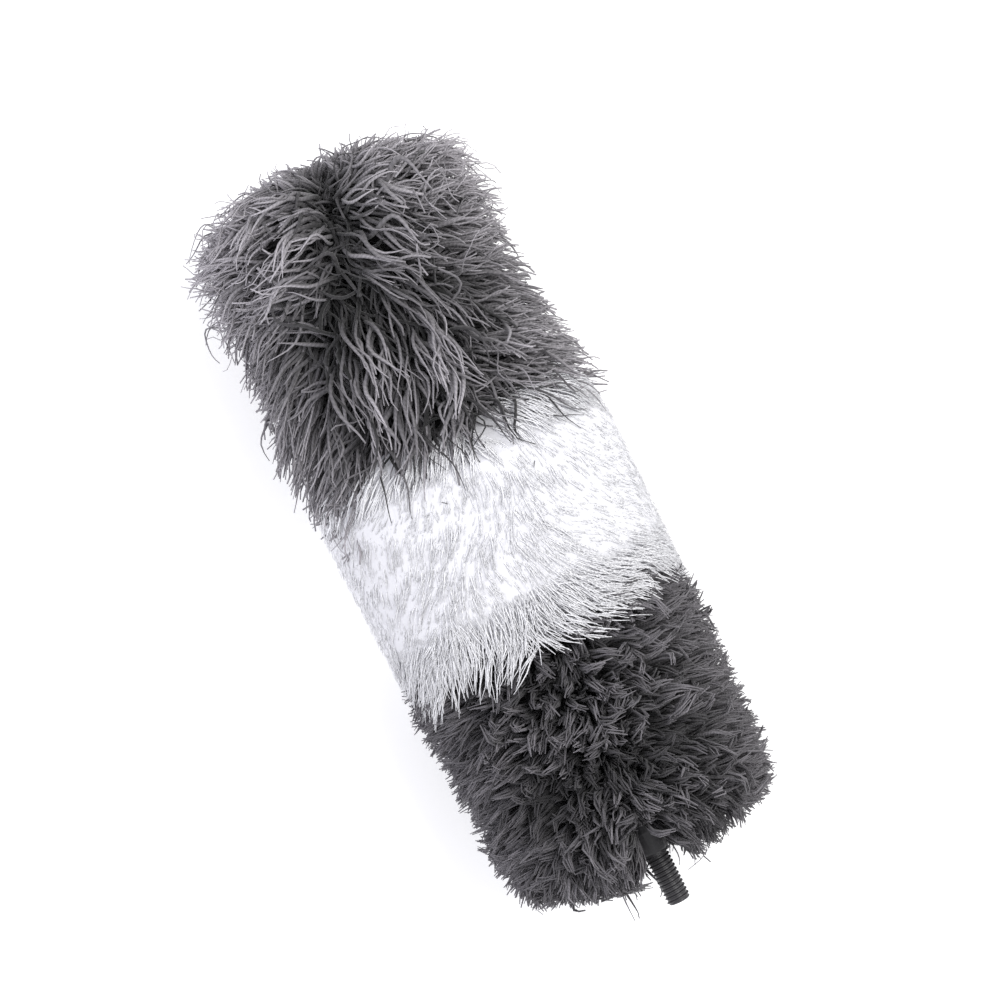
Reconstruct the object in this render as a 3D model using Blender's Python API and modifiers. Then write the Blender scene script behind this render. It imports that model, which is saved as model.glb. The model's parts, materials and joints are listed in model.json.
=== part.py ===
"""Bendable microfibre duster head with a threaded stud for an extension pole.

The head lies on its side: the core runs along X, from the stud at -X to the crown of the fur at +X. Places along
the core are stations, measured from the root of the stud and positive towards the crown; at() turns one into a
world X. The wire core bends anywhere, which is divided here over five hinges with vertical axes, so each long
piece is made once for every link between them.
"""

import math

import bmesh
import bpy

# Overall shape
OVERALL_LENGTH = 0.400
AXIS_HEIGHT = 0.060
TOP_RISE = 0.066
FLAT_SHARE = 0.80  # the underside is flat where the cosine from straight down is above this

# Stud and connector
STUD_LENGTH = 0.0255
THREAD_MAJOR_R = 0.0060
THREAD_MINOR_R = 0.00520
THREAD_PITCH = 0.0021
STUD_CHAMFER = 0.0010
SHOULDER_R = 0.0070
BARREL_R = 0.0100
CONE_TOP = 0.0130
BARREL_TOP = 0.0300
GROOVE_R = 0.0083
GROOVE_START = 0.0188
GROOVE_END = 0.0232
POCKET_R = 0.0039
POCKET_START = 0.0100
POCKET_END = 0.0136

# Core
WIRE_R = 0.0020
TUBE_BORE_R = 0.0023
TUBE_R = 0.0060
TUBE_END = 0.3500
FERRULE_WALL = 0.0008
FERRULE_LENGTH = 0.0080
CAP_R = 0.0090
CAP_START = 0.3380
CAP_END = 0.3550

# Knitted sleeve
SLEEVE_BORE_R = 0.0106
SLEEVE_R = 0.0122
SLEEVE_NECK = 0.3500
GATHER_STATION = 0.3600
GATHER_R = 0.0034
SEAM_R = 0.0133
SEAM_WIDTH = 0.0024
HEM_R = 0.0129
HEM_WIDTH = 0.0084
HEM_WALL = 0.0010
ELASTIC_R = 0.0012
STITCH_R = 0.0006

# Fur: half its width at a few stations, before the two ends round over
HALF_WIDTHS = [(-0.008, 0.071), (0.070, 0.073), (0.125, 0.074), (0.232, 0.0755), (0.3745, 0.076)]
FUR_BORE_R = 0.0142
FUR_START = -0.0080
START_ROUND = 0.0260
START_FLAT_SHARE = 0.50
CROWN_ROUND = 0.0350
CROWN_POCKET = 0.0090  # from the bore's end to the crown's

# Bending
HINGES = [0.062, 0.125, 0.178, 0.232, 0.306]
BEND_EACH_WAY = math.radians(18.0)
NOTCH_SLOPE = math.tan(BEND_EACH_WAY / 2 + math.radians(0.5))
GAP = 0.0003

LENGTHS = ["lower_end", "lower", "white_near", "white_far", "upper", "upper_end"]
YARN_OF = {"lower": "dark_grey_yarn", "white": "white_yarn", "upper": "grey_yarn"}
KNIT_OF = {"lower": "dark_grey_knit", "white": "white_knit", "upper": "grey_knit"}

START_STATION = -STUD_LENGTH
END_STATION = OVERALL_LENGTH - STUD_LENGTH


def at(station):
    """World X of a station."""
    return station - (START_STATION + END_STATION) / 2


def make_collection(name):
    made = bpy.data.collections.new(name)
    bpy.context.scene.collection.children.link(made)
    return made


def make_material(name, colour, roughness, metallic=0.0):
    made = bpy.data.materials.new(name)
    made.use_nodes = True
    shader = made.node_tree.nodes["Principled BSDF"]
    shader.inputs["Base Color"].default_value = (*colour, 1.0)
    shader.inputs["Roughness"].default_value = roughness
    shader.inputs["Metallic"].default_value = metallic
    made.diffuse_color = (*colour, 1.0)


def make_materials():
    make_material("black_plastic", (0.035, 0.035, 0.037), 0.38)
    make_material("wire_aluminium", (0.72, 0.72, 0.73), 0.35, metallic=1.0)
    make_material("tube_plastic", (0.60, 0.61, 0.62), 0.50)
    make_material("ferrule_steel", (0.55, 0.55, 0.56), 0.32, metallic=1.0)
    make_material("cap_rubber", (0.05, 0.05, 0.052), 0.80)
    make_material("hem_fabric", (0.06, 0.06, 0.065), 0.90)
    make_material("elastic_rubber", (0.75, 0.74, 0.70), 0.75)
    make_material("seam_thread", (0.20, 0.20, 0.21), 0.85)
    make_material("dark_grey_knit", (0.030, 0.030, 0.033), 0.95)
    make_material("white_knit", (0.72, 0.72, 0.74), 0.95)
    make_material("grey_knit", (0.055, 0.055, 0.060), 0.95)
    make_material("dark_grey_yarn", (0.065, 0.063, 0.068), 0.92)
    make_material("white_yarn", (0.88, 0.88, 0.90), 0.92)
    make_material("grey_yarn", (0.150, 0.145, 0.150), 0.92)


def make_pivots():
    """A chain of empties, the first at the root of the stud and the others on the hinges' axes."""
    pivots = []
    for index, station in enumerate([0.0, *HINGES]):
        pivot = bpy.data.objects.new(f"pivot_{index}", None)
        bpy.context.scene.collection.objects.link(pivot)
        pivot["station"] = station
        if pivots:
            pivot.parent = pivots[-1]
            pivot.location = (station - pivots[-1]["station"], 0.0, 0.0)
        else:
            pivot.location = (at(station), 0.0, AXIS_HEIGHT)
        pivots.append(pivot)
    return pivots


def add_object(name, mesh, pivot, finish, group):
    """An object along its link: local Z runs along the core, and the origin is on the link's pivot."""
    obj = bpy.data.objects.new(name, mesh)
    group.objects.link(obj)
    obj.parent = pivot
    obj.rotation_euler = (0.0, math.pi / 2, 0.0)
    mesh.materials.append(bpy.data.materials[finish])
    return obj


def turned(name, profile, pivot, finish, group, steps=24, loop=False):
    """A profile of (radius, station) points turned about the core, its outer side running down to the stud."""
    mesh = bpy.data.meshes.new(name)
    points = [(radius, 0.0, station - pivot["station"]) for radius, station in profile]
    edges = [(i, i + 1) for i in range(len(points) - 1)]
    if loop:
        edges.append((len(points) - 1, 0))
    mesh.from_pydata(points, edges, [])
    obj = add_object(name, mesh, pivot, finish, group)
    screw = obj.modifiers.new("turn", "SCREW")
    screw.steps = steps
    screw.render_steps = steps
    screw.use_merge_vertices = True
    screw.merge_threshold = 0.00001
    return obj


def ring(name, bore_r, outer_r, start, end, pivot, finish, group):
    """A plain tube between two stations."""
    profile = [(outer_r, end), (outer_r, start), (bore_r, start), (bore_r, end)]
    return turned(name, profile, pivot, finish, group, loop=True)


def torus(name, radius, wire_r, station, pivot, finish, group, sides=6):
    """A round cord or thread that runs in a circle round the core."""
    angles = [-math.tau * i / sides for i in range(sides)]
    profile = [(radius + wire_r * math.cos(angle), station + wire_r * math.sin(angle)) for angle in angles]
    return turned(name, profile, pivot, finish, group, loop=True)


def arc(centre_r, centre_s, radius, start_deg, end_deg, points=6):
    """Points on an arc of the profile plane, with 0 degrees outwards and 90 towards the crown."""
    found = []
    for i in range(points):
        angle = math.radians(start_deg + (end_deg - start_deg) * i / (points - 1))
        found.append((centre_r + radius * math.cos(angle), centre_s + radius * math.sin(angle)))
    return found


def cut(obj, cutter, operation="DIFFERENCE"):
    boolean = obj.modifiers.new(cutter.name, "BOOLEAN")
    boolean.operation = operation
    boolean.solver = "EXACT"
    boolean.object = cutter


def as_helper(obj):
    obj.hide_render = True
    obj.display_type = "WIRE"
    return obj


def apply_modifiers(obj):
    graph = bpy.context.evaluated_depsgraph_get()
    mesh = bpy.data.meshes.new_from_object(obj.evaluated_get(graph))
    obj.modifiers.clear()
    obj.data = mesh
    return mesh


def thread_ridge(pivot, group):
    """The thread's helical ridge, long enough to run out past both ends of the stud."""
    steps_a_turn = 20
    root_r = THREAD_MINOR_R - 0.0005
    half_root = 0.46 * THREAD_PITCH
    half_crest = 0.10 * THREAD_PITCH
    start = -STUD_LENGTH - 0.6 * THREAD_PITCH
    turns = (STUD_LENGTH + 1.1 * THREAD_PITCH) / THREAD_PITCH
    steps = round(turns * steps_a_turn)
    section = [
        (root_r, start - half_root),
        (THREAD_MAJOR_R, start - half_crest),
        (THREAD_MAJOR_R, start + half_crest),
        (root_r, start + half_root),
    ]
    shape = bmesh.new()
    face = shape.faces.new([shape.verts.new((radius, 0.0, station)) for radius, station in section])
    bmesh.ops.spin(
        shape,
        geom=[face, *face.edges, *face.verts],
        axis=(0.0, 0.0, 1.0),
        dvec=(0.0, 0.0, THREAD_PITCH / steps_a_turn),
        angle=math.tau * steps / steps_a_turn,
        steps=steps,
    )
    bmesh.ops.recalc_face_normals(shape, faces=shape.faces)
    mesh = bpy.data.meshes.new("thread_ridge")
    shape.to_mesh(mesh)
    shape.free()
    return as_helper(add_object("thread_ridge", mesh, pivot, "black_plastic", group))


def stud_end_cutter(pivot, group):
    """Everything past the stud's flat end, and outside the chamfer behind it."""
    far = -STUD_LENGTH - 2 * THREAD_PITCH
    beside = 2 * THREAD_MAJOR_R
    profile = [
        (0.0, -STUD_LENGTH),
        (THREAD_MAJOR_R - STUD_CHAMFER, -STUD_LENGTH),
        (THREAD_MAJOR_R + STUD_CHAMFER, -STUD_LENGTH + 2 * STUD_CHAMFER),
        (beside, -STUD_LENGTH + 2 * STUD_CHAMFER),
        (beside, far),
        (0.0, far),
    ]
    return as_helper(turned("stud_end_cutter", profile, pivot, "black_plastic", group, steps=32))


def threaded_connector(pivot, parts, helpers):
    """Stud, cone and barrel in one moulding, with a pocket that holds the headed end of the core wire."""
    lip = 0.0006
    edge_r = 0.0020
    stud_past_end = 0.0005
    profile = [
        (0.0, POCKET_START),
        (POCKET_R, POCKET_START),
        (POCKET_R, POCKET_END),
        (TUBE_BORE_R, POCKET_END),
        (TUBE_BORE_R, BARREL_TOP),
        (BARREL_R - lip, BARREL_TOP),
        (BARREL_R, BARREL_TOP - lip),
        (BARREL_R, GROOVE_END + lip),
        (GROOVE_R, GROOVE_END),
        (GROOVE_R, GROOVE_START),
        (BARREL_R, GROOVE_START - lip),
        *arc(BARREL_R - edge_r, CONE_TOP, edge_r, 0, -24, points=4),
        (SHOULDER_R + 0.0003, 0.0020),
        (SHOULDER_R, 0.0012),
        (SHOULDER_R, 0.0),
        (THREAD_MINOR_R, 0.0),
        (THREAD_MINOR_R, -STUD_LENGTH - stud_past_end),
        (0.0, -STUD_LENGTH - stud_past_end),
    ]
    connector = turned("threaded_connector", profile, pivot, "black_plastic", parts, steps=32)
    cut(connector, thread_ridge(pivot, helpers), "UNION")
    cut(connector, stud_end_cutter(pivot, helpers))


def core_wire(index, start, end, pivot, parts):
    """One link's length of wire, with round ends, and a head where it is held in the connector."""
    profile = [(0.0, end), *arc(0.0, end - WIRE_R, WIRE_R, 60, 0, points=3)]
    if index == 0:
        head_start = POCKET_START + GAP
        head_end = POCKET_END - GAP
        head_r = POCKET_R - GAP
        profile += [(WIRE_R, head_end), (head_r, head_end), (head_r, head_start), (0.0, head_start)]
    else:
        profile += [*arc(0.0, start + WIRE_R, WIRE_R, 0, -60, points=3), (0.0, start)]
    turned(f"core_wire_{index + 1}", profile, pivot, "wire_aluminium", parts, steps=16)


def tip_cap(pivot, parts):
    """Soft cap pushed over the end of the core, so that it can't scratch."""
    bore_r = TUBE_R + GAP
    round_r = 0.004
    lip = 0.0008
    profile = [
        (0.0, CAP_END),
        *arc(CAP_R - round_r, CAP_END - round_r, round_r, 90, 0),
        (CAP_R, CAP_START + lip),
        (CAP_R - lip, CAP_START),
        (bore_r, CAP_START),
        (bore_r, TUBE_END + GAP),
        (0.0, TUBE_END + GAP),
    ]
    turned("tip_cap", profile, pivot, "cap_rubber", parts)


def hem_casing(pivot, parts):
    """The hem that holds the elastic, open towards the groove of the barrel."""
    middle = (GROOVE_START + GROOVE_END) / 2
    start = middle - HEM_WIDTH / 2
    end = middle + HEM_WIDTH / 2
    channel_r = BARREL_R + ELASTIC_R + 2 * GAP
    profile = [
        (HEM_R, end),
        (HEM_R, start),
        (BARREL_R + GAP, start),
        (BARREL_R + GAP, start + HEM_WALL),
        (channel_r, start + HEM_WALL),
        (channel_r, end - HEM_WALL),
        (BARREL_R + GAP, end - HEM_WALL),
        (BARREL_R + GAP, end),
    ]
    turned("hem_casing", profile, pivot, "hem_fabric", parts, loop=True)
    torus("hem_elastic", BARREL_R, ELASTIC_R, middle, pivot, "elastic_rubber", parts)
    return end


def gathered_sleeve(start, pivot, parts):
    """The last length of sleeve, drawn in over the cap to a small hole that its thread closes."""
    wall = SLEEVE_R - SLEEVE_BORE_R
    turn_r = GATHER_STATION - SLEEVE_NECK
    lip = GATHER_STATION + 0.0006
    profile = [
        (GATHER_R, lip),
        *arc(SLEEVE_R - turn_r, SLEEVE_NECK, turn_r, 72, 0, points=5),
        (SLEEVE_R, start),
        (SLEEVE_BORE_R, start),
        *arc(SLEEVE_R - turn_r, SLEEVE_NECK, turn_r - wall, 0, 66, points=5),
        (GATHER_R, lip - wall),
    ]
    turned("sleeve_upper_end", profile, pivot, "grey_knit", parts, loop=True)
    torus("gather_thread", GATHER_R - STITCH_R - GAP, STITCH_R, GATHER_STATION, pivot, "seam_thread", parts)


def half_width(station):
    """Half the width of the fur at a station, without the rounded ends."""
    for (low, narrow), (high, wide) in zip(HALF_WIDTHS, HALF_WIDTHS[1:]):
        if station <= high:
            return narrow + (wide - narrow) * (station - low) / (high - low)
    return HALF_WIDTHS[-1][1]


def end_share(station):
    """How much of the width is left where the fur rounds over at its two ends."""
    into_crown = (station - END_STATION + CROWN_ROUND) / CROWN_ROUND
    into_start = (FUR_START + START_ROUND - station) / START_ROUND
    if into_crown > 0.0:
        return math.sqrt(max(0.0, 1.0 - into_crown**2))
    if into_start > 0.0:
        return START_FLAT_SHARE + (1.0 - START_FLAT_SHARE) * math.sqrt(max(0.0, 1.0 - into_start**2))
    return 1.0


def fur_outline(stations):
    return [(half_width(station) * end_share(station), station) for station in stations]


def flatten_fur(mesh, base):
    """Gives turned fur its lower top and its flat underside; the bore stays round."""
    for vertex in mesh.vertices:
        radius = math.hypot(vertex.co.x, vertex.co.y)
        if radius < FUR_BORE_R + GAP:
            continue
        up = -vertex.co.x / radius
        share = end_share(vertex.co.z + base)
        if up > 0.0:
            height = up * radius * TOP_RISE / HALF_WIDTHS[-1][1]
        else:
            height = -AXIS_HEIGHT * share * min(1.0, -up / FLAT_SHARE)
        vertex.co.x = -height


def notch_fur(mesh, base, start, end):
    """Leans the end faces at start and end back from their hinges on both sides of the core."""
    for vertex in mesh.vertices:
        lean = abs(vertex.co.y) * NOTCH_SLOPE
        station = vertex.co.z + base
        if start is not None and abs(station - start) < GAP / 2:
            vertex.co.z += lean
        if end is not None and abs(station - end) < GAP / 2:
            vertex.co.z -= lean


def fur_length(name, stations, notched_start, notched_end, pivot, finish, parts):
    """A length of fur round the sleeve, turned and then shaped."""
    start, end = stations[0], stations[-1]
    profile = fur_outline(reversed(stations)) + [(FUR_BORE_R, start), (FUR_BORE_R, end)]
    obj = turned(name, profile, pivot, finish, parts, steps=36, loop=True)
    mesh = apply_modifiers(obj)
    flatten_fur(mesh, pivot["station"])
    notch_fur(mesh, pivot["station"], start if notched_start else None, end if notched_end else None)


def crown(start, pivot, parts):
    """The dome of fur over the end of the sleeve, with a pocket for it."""
    stations = [END_STATION - CROWN_ROUND * (1.0 - math.sin(math.radians(angle))) for angle in range(75, -1, -15)]
    stations[-1] = start
    pocket_end = END_STATION - CROWN_POCKET
    pocket = [(FUR_BORE_R, start), (FUR_BORE_R, pocket_end), (0.0, pocket_end)]
    profile = [(0.0, END_STATION), *fur_outline(stations), *pocket]
    obj = turned("pile_crown", profile, pivot, "grey_yarn", parts, steps=36)
    flatten_fur(apply_modifiers(obj), pivot["station"])


def main():
    for obj in list(bpy.data.objects):
        bpy.data.objects.remove(obj, do_unlink=True)
    parts = make_collection("duster_head")
    helpers = make_collection("cutters")
    make_materials()
    pivots = make_pivots()
    root, tip = pivots[0], pivots[-1]

    threaded_connector(root, parts, helpers)
    hem_end = hem_casing(root, parts)
    ferrule_start = BARREL_TOP + 2 * GAP
    ferrule_r = TUBE_R + GAP
    ring(
        "core_ferrule", ferrule_r, ferrule_r + FERRULE_WALL, ferrule_start, ferrule_start + FERRULE_LENGTH,
        root, "ferrule_steel", parts,
    )
    tip_cap(tip, parts)

    tube_gap = TUBE_R * NOTCH_SLOPE + GAP
    sleeve_gap = SLEEVE_R * NOTCH_SLOPE + GAP
    crown_start = END_STATION - CROWN_ROUND
    for index, (length, pivot) in enumerate(zip(LENGTHS, pivots)):
        first = index == 0
        last = pivot is tip
        low = None if first else HINGES[index - 1]
        high = None if last else HINGES[index]
        kind = length.split("_")[0]

        core_wire(index, None if first else low + GAP, TUBE_END if last else high - GAP, pivot, parts)
        tube_start = BARREL_TOP + GAP if first else low + tube_gap
        tube_end = TUBE_END if last else high - tube_gap
        ring(f"core_tube_{index + 1}", TUBE_BORE_R, TUBE_R, tube_start, tube_end, pivot, "tube_plastic", parts)

        sleeve_start = hem_end + GAP if first else low + sleeve_gap
        if last:
            gathered_sleeve(sleeve_start, pivot, parts)
        else:
            ring(
                f"sleeve_{length}", SLEEVE_BORE_R, SLEEVE_R, sleeve_start, high - sleeve_gap,
                pivot, KNIT_OF[kind], parts,
            )

        fur_start = FUR_START if first else low + GAP
        fur_end = crown_start if last else high - GAP
        stations = [fur_start, fur_end]
        if first:
            rounding = [FUR_START + START_ROUND * (1.0 - math.cos(math.radians(a))) for a in (30, 60, 90)]
            stations = [fur_start, *rounding, fur_end]
        fur_length(f"pile_{length}", stations, not first, not last, pivot, YARN_OF[kind], parts)
    crown(crown_start + GAP, tip, parts)

    seams = {"seam_lower": pivots[2], "seam_upper": pivots[4]}
    for name, pivot in seams.items():
        seam_start = pivot["station"] + SEAM_R * NOTCH_SLOPE + GAP
        ring(name, SLEEVE_R + GAP, SEAM_R, seam_start, seam_start + SEAM_WIDTH, pivot, "seam_thread", parts)


main()
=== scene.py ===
"""Looks of the bendable duster head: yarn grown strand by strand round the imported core, and its studio.

Lengths are metres in the frame's own axes: X along the core from the stud to the crown, Z up. Places along
the core are stations, measured from the root of the stud towards the crown. A run is a station that goes on
round the crown. Angles round the core are in radians from straight up, positive towards -Y, the right-hand
side in the camera's view. Shares say how far out something is: 0 on the axis and 1 on the surface that the
tips lie in.
"""

import json
import math
from dataclasses import dataclass

import bpy
import numpy as np
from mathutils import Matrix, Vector

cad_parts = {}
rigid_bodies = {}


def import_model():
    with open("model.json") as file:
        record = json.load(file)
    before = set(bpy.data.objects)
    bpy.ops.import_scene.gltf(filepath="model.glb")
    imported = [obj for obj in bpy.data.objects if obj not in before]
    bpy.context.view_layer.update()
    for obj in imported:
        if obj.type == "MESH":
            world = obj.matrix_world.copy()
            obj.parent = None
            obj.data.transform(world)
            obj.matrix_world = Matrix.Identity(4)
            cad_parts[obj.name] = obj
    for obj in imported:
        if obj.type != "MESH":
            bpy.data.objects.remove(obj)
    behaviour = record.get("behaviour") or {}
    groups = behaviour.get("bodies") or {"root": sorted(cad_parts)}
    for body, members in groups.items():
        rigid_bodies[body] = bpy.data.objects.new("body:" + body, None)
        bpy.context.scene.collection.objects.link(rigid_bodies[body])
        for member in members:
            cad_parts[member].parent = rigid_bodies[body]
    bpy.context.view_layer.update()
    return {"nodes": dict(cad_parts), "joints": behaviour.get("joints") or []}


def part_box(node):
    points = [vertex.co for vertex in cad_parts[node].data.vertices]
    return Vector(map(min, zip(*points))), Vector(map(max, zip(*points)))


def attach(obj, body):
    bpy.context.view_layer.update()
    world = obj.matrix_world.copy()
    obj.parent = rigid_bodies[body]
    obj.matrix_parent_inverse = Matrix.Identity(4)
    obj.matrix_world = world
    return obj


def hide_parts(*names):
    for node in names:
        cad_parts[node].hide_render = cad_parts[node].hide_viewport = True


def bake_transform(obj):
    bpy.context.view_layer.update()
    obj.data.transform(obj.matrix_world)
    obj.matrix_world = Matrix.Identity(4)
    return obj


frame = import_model()

TAU = math.tau
SEED = 11

# Places read from the frame
STUD_LENGTH = 0.0255
STUD_ROOT_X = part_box("threaded_connector")[0].x + STUD_LENGTH
JOINTS = frame["joints"]
AXIS_Z = JOINTS[0]["pos_m"][2]
HINGES = [joint["pos_m"][0] - STUD_ROOT_X for joint in JOINTS]
LINKS = [JOINTS[0]["parent"]] + [joint["child"] for joint in JOINTS]
BORDERS = [(a + b) / 2 for a, b in zip(HINGES, HINGES[1:])]  # half-way between hinges

# The surface that the yarn's tips lie in
FUR_START = -0.0080
START_ROUND = 0.0260
START_SHARE = 0.30
# Station and half width, from the lower end to the crown
HALF_WIDTHS = ((-0.008, 0.0715), (0.070, 0.0755), (0.125, 0.0765), (0.232, 0.0780), (0.3745, 0.0785))
TOP_HEIGHT = 0.0630
ROUNDNESS = 2.3
CROWN_START = 0.3395
CROWN_DEPTH = 0.0350
CROWN_SKEW = 2.2  # how much deeper the crown is on its left, a metre of Y
CROWN_TRIM = 0.075  # how much narrower it is on its right
TRIM_SPAN = (0.240, 0.310)
CROWN_RUN = CROWN_START + CROWN_DEPTH * math.pi / 2
LOWEST = 0.0012  # no strand comes nearer to the floor
TO_STUD = np.array([-1.0, 0.0, 0.0])

# Where the yarn is held
CORE_SHARE = 0.20
SLEEVE_R = 0.0122
ROOTS_START = 0.0260
BAND_LOW = 0.1250
BAND_HIGH = 0.2320
CROWN_ROOTS = 0.3395

# What the yarn parts round, and where its tips sink
WHORL_RUN = 0.3544
PARTING = ((WHORL_RUN, 0.0), (0.2890, -0.33))  # run and angle of its two ends
PARTING_DEPTH = 0.22
PARTING_WIDTH = (0.004, 0.036)
MIDDLE_LINE = ((0.050, 0.0), (0.115, -0.24), (0.180, 0.27))  # station and angle of the bands' parting
WHITE_EDGE = ((-1.6, 0.112), (-0.75, 0.104), (-0.50, 0.100), (-0.22, 0.114), (0.34, 0.107), (1.3, 0.111))
DIPS = ((0.0490, 0.018, 0.17), (0.2700, 0.034, 0.20))  # station, reach and depth of each dip in the tips
HUB_HALF_WIDTH = 0.0120
HUB_Y = -0.0020
HUB_SHOWS_TO = 0.0215

# Shares of the matted yarn underneath, by station
DARK_DEPTH = ((0.026, 0.50), (0.110, 0.55), (0.125, 0.62))
WHITE_DEPTH = ((0.125, 0.74), (0.142, 0.957), (0.204, 0.962), (0.226, 0.76), (0.232, 0.55))
GREY_DEPTH = ((0.232, 0.55), (0.300, 0.50), (0.400, 0.45))
BED_COLUMNS = 96
BED_ROW = 0.003
LUMP_SIZE = 0.010

# Yarn atlas: one column of the UV map a shade, with the way round the strand across it and root to tip up it
SHADES = 16
COLUMN_MARGIN = 0.02
ENDS = (0.01, 0.99)
TURN_BY_SHADE = 40.0  # radians, so that twisted strands start turned every way
PLY_TURNS = 26.0  # that a ply makes from root to tip

# Camera, straight above, with the object lying slantwise in its view
VIEW_LEAN = math.atan2(0.447, 0.894)
VIEW_CENTRE = (0.0114, -0.0089)
VIEW_DISTANCE = 1.138
LENS_MM = 85.0

# Light
WORLD_STRENGTH = 0.78
FLOOR_GLOW = 0.27
FLOOR_REACH = 20.0
LAMP_DISTANCE = 1.6
KEY_POWER = 21.5
FILL_POWER = 11.0


@dataclass(frozen=True)
class Growth:
    """How one kind of yarn grows. Spans and sizes are metres."""

    seed: int
    tufts: int
    strands: int
    radius: float
    sides: int
    rings: int
    spread: float  # how far strands of a tuft lie apart
    point: float  # what is left of the spread at the tip
    taper: float  # what is left of the radius at the tip
    thick: float  # thickness as a share of the width
    wave: float
    wave_length: float
    around: float = math.pi  # greatest angle from straight up
    lean: float = 0.0  # how far back along the lie the root is from the tip
    flat: float = 0.0  # 1 lies along the surface, 0 stands straight out
    side_flat: float = 0.0  # the same at the left and right edges
    swing: float = 0.0  # radians that tufts stray from the lie
    patch: float = 0.010  # size of the patches that stray together
    unruly: float = 0.0  # how far each tuft strays from its slope
    depth: tuple = (1.0, 1.0)  # least and greatest share at the tip
    tuck: tuple = (1.0, 2.0, 0.0)  # stations between which the tips sink, and by how much
    layer: float = 1.0  # how deep a layer a tuft's strands lie in, as a share of the spread
    twist: float = 0.4  # turns of the flat strand from root to tip
    parted: float = 1.0  # share of the tufts that is left along the parting


UPPER = Growth(
    seed=SEED + 10, tufts=1700, strands=4, radius=0.00104, sides=4, rings=14,
    spread=0.0046, point=1.0, taper=0.36, thick=0.66, wave=0.0024, wave_length=0.036,
    lean=0.045, flat=0.92, side_flat=0.45, swing=0.38, patch=0.020, unruly=0.16,
    depth=(0.60, 1.05), parted=0.40,
)
LOOPS = Growth(
    seed=SEED + 60, tufts=130, strands=1, radius=0.00105, sides=4, rings=20,
    spread=0.0, point=1.0, taper=0.60, thick=0.70, wave=0.0050, wave_length=0.040,
    around=0.8, lean=0.046, flat=0.97, side_flat=0.80, swing=0.9, patch=0.015, unruly=0.20,
    depth=(0.96, 1.06),
)
WISPS = Growth(
    seed=SEED + 80, tufts=80, strands=1, radius=0.00075, sides=3, rings=18,
    spread=0.0, point=1.0, taper=0.30, thick=0.66, wave=0.0034, wave_length=0.034,
    around=1.3, lean=0.056, flat=1.0, side_flat=0.95, swing=0.55, patch=0.012, unruly=0.06,
    depth=(1.005, 1.03),
)
STRAYS = Growth(
    seed=SEED + 50, tufts=220, strands=1, radius=0.00046, sides=3, rings=20,
    spread=0.0, point=1.0, taper=0.60, thick=0.80, wave=0.0042, wave_length=0.026,
    lean=0.030, flat=0.70, side_flat=0.55, swing=0.9, patch=0.020, unruly=0.25,
    depth=(1.03, 1.11),
)
WHITE = Growth(
    seed=SEED + 20, tufts=3000, strands=5, radius=0.00054, sides=3, rings=9,
    spread=0.0050, point=0.70, taper=0.40, thick=0.30, wave=0.0007, wave_length=0.022,
    lean=0.036, flat=0.99, side_flat=0.90, swing=0.26, patch=0.022, unruly=0.05,
    depth=(0.988, 1.000), tuck=(0.200, 0.230, 0.20), layer=0.15, twist=0.0,
)
LOWER = Growth(
    seed=SEED + 30, tufts=2900, strands=6, radius=0.00090, sides=3, rings=6,
    spread=0.0024, point=0.50, taper=0.35, thick=0.66, wave=0.0006, wave_length=0.018,
    lean=0.008, flat=0.30, side_flat=0.25, swing=1.5, patch=0.010, unruly=0.30,
    depth=(0.80, 1.05), tuck=(0.106, 0.126, 0.10),
)
SKIRT = Growth(
    seed=SEED + 40, tufts=620, strands=6, radius=0.00080, sides=3, rings=8,
    spread=0.0024, point=0.55, taper=0.30, thick=0.66, wave=0.0010, wave_length=0.020,
)
LOOSE_ENDS = Growth(
    seed=SEED + 70, tufts=70, strands=1, radius=0.00085, sides=3, rings=16,
    spread=0.0, point=1.0, taper=0.40, thick=0.66, wave=0.0030, wave_length=0.026,
)


def x_of(station):
    return STUD_ROOT_X + station


def smooth(low, high, value):
    """0 below low, 1 above high, and an S-curve between."""
    t = np.clip((value - low) / (high - low), 0.0, 1.0)
    return t * t * (3.0 - 2.0 * t)


def unit(vectors):
    return vectors / np.maximum(np.linalg.norm(vectors, axis=-1, keepdims=True), 1e-12)


def dot(a, b):
    return np.sum(a * b, axis=-1, keepdims=True)


def by_station(profile, station):
    """What a profile of (station, value) pairs comes to at each station."""
    return np.interp(station, *np.transpose(profile))


def noise(points, size, seed):
    """Smooth noise of about unit strength that varies over the given size."""
    rng = np.random.default_rng(seed)
    waves = unit(rng.normal(size=(9, 3))) * TAU / (size * rng.uniform(1.2, 2.6, (9, 1)))
    phases = rng.uniform(0.0, TAU, 9)
    return np.sin(points @ waves.T + phases).sum(axis=-1) / math.sqrt(4.5)


def evenly(order, step):
    """Numbers from 0 to 1 that fill the range evenly however many there are."""
    return (0.5 + order * step) % 1.0


def put_in_scene(name, data):
    obj = bpy.data.objects.new(name, data)
    bpy.context.scene.collection.objects.link(obj)
    return obj


# ---------------------------------------------------------------- the surface that the tips lie in


def radius_at(station, angle):
    """From the axis to the surface, without the crown's rounding."""
    width = by_station(HALF_WIDTHS, station)
    width = width * (1.0 - CROWN_TRIM * smooth(*TRIM_SPAN, station) * (np.sin(angle) > 0.0))
    height = np.where(np.cos(angle) > 0.0, TOP_HEIGHT, AXIS_Z)
    start = np.clip((station - FUR_START) / START_ROUND, 0.0, 1.0)
    start = START_SHARE + (1.0 - START_SHARE) * np.sqrt(1.0 - (1.0 - start) ** 2)
    reach = np.abs(np.sin(angle) / width) ** ROUNDNESS + np.abs(np.cos(angle) / height) ** ROUNDNESS
    return start * reach ** (-1.0 / ROUNDNESS)


def crown_depth(y):
    """The crown stands further out on its left."""
    return CROWN_DEPTH * (1.0 + CROWN_SKEW * y)


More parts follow.
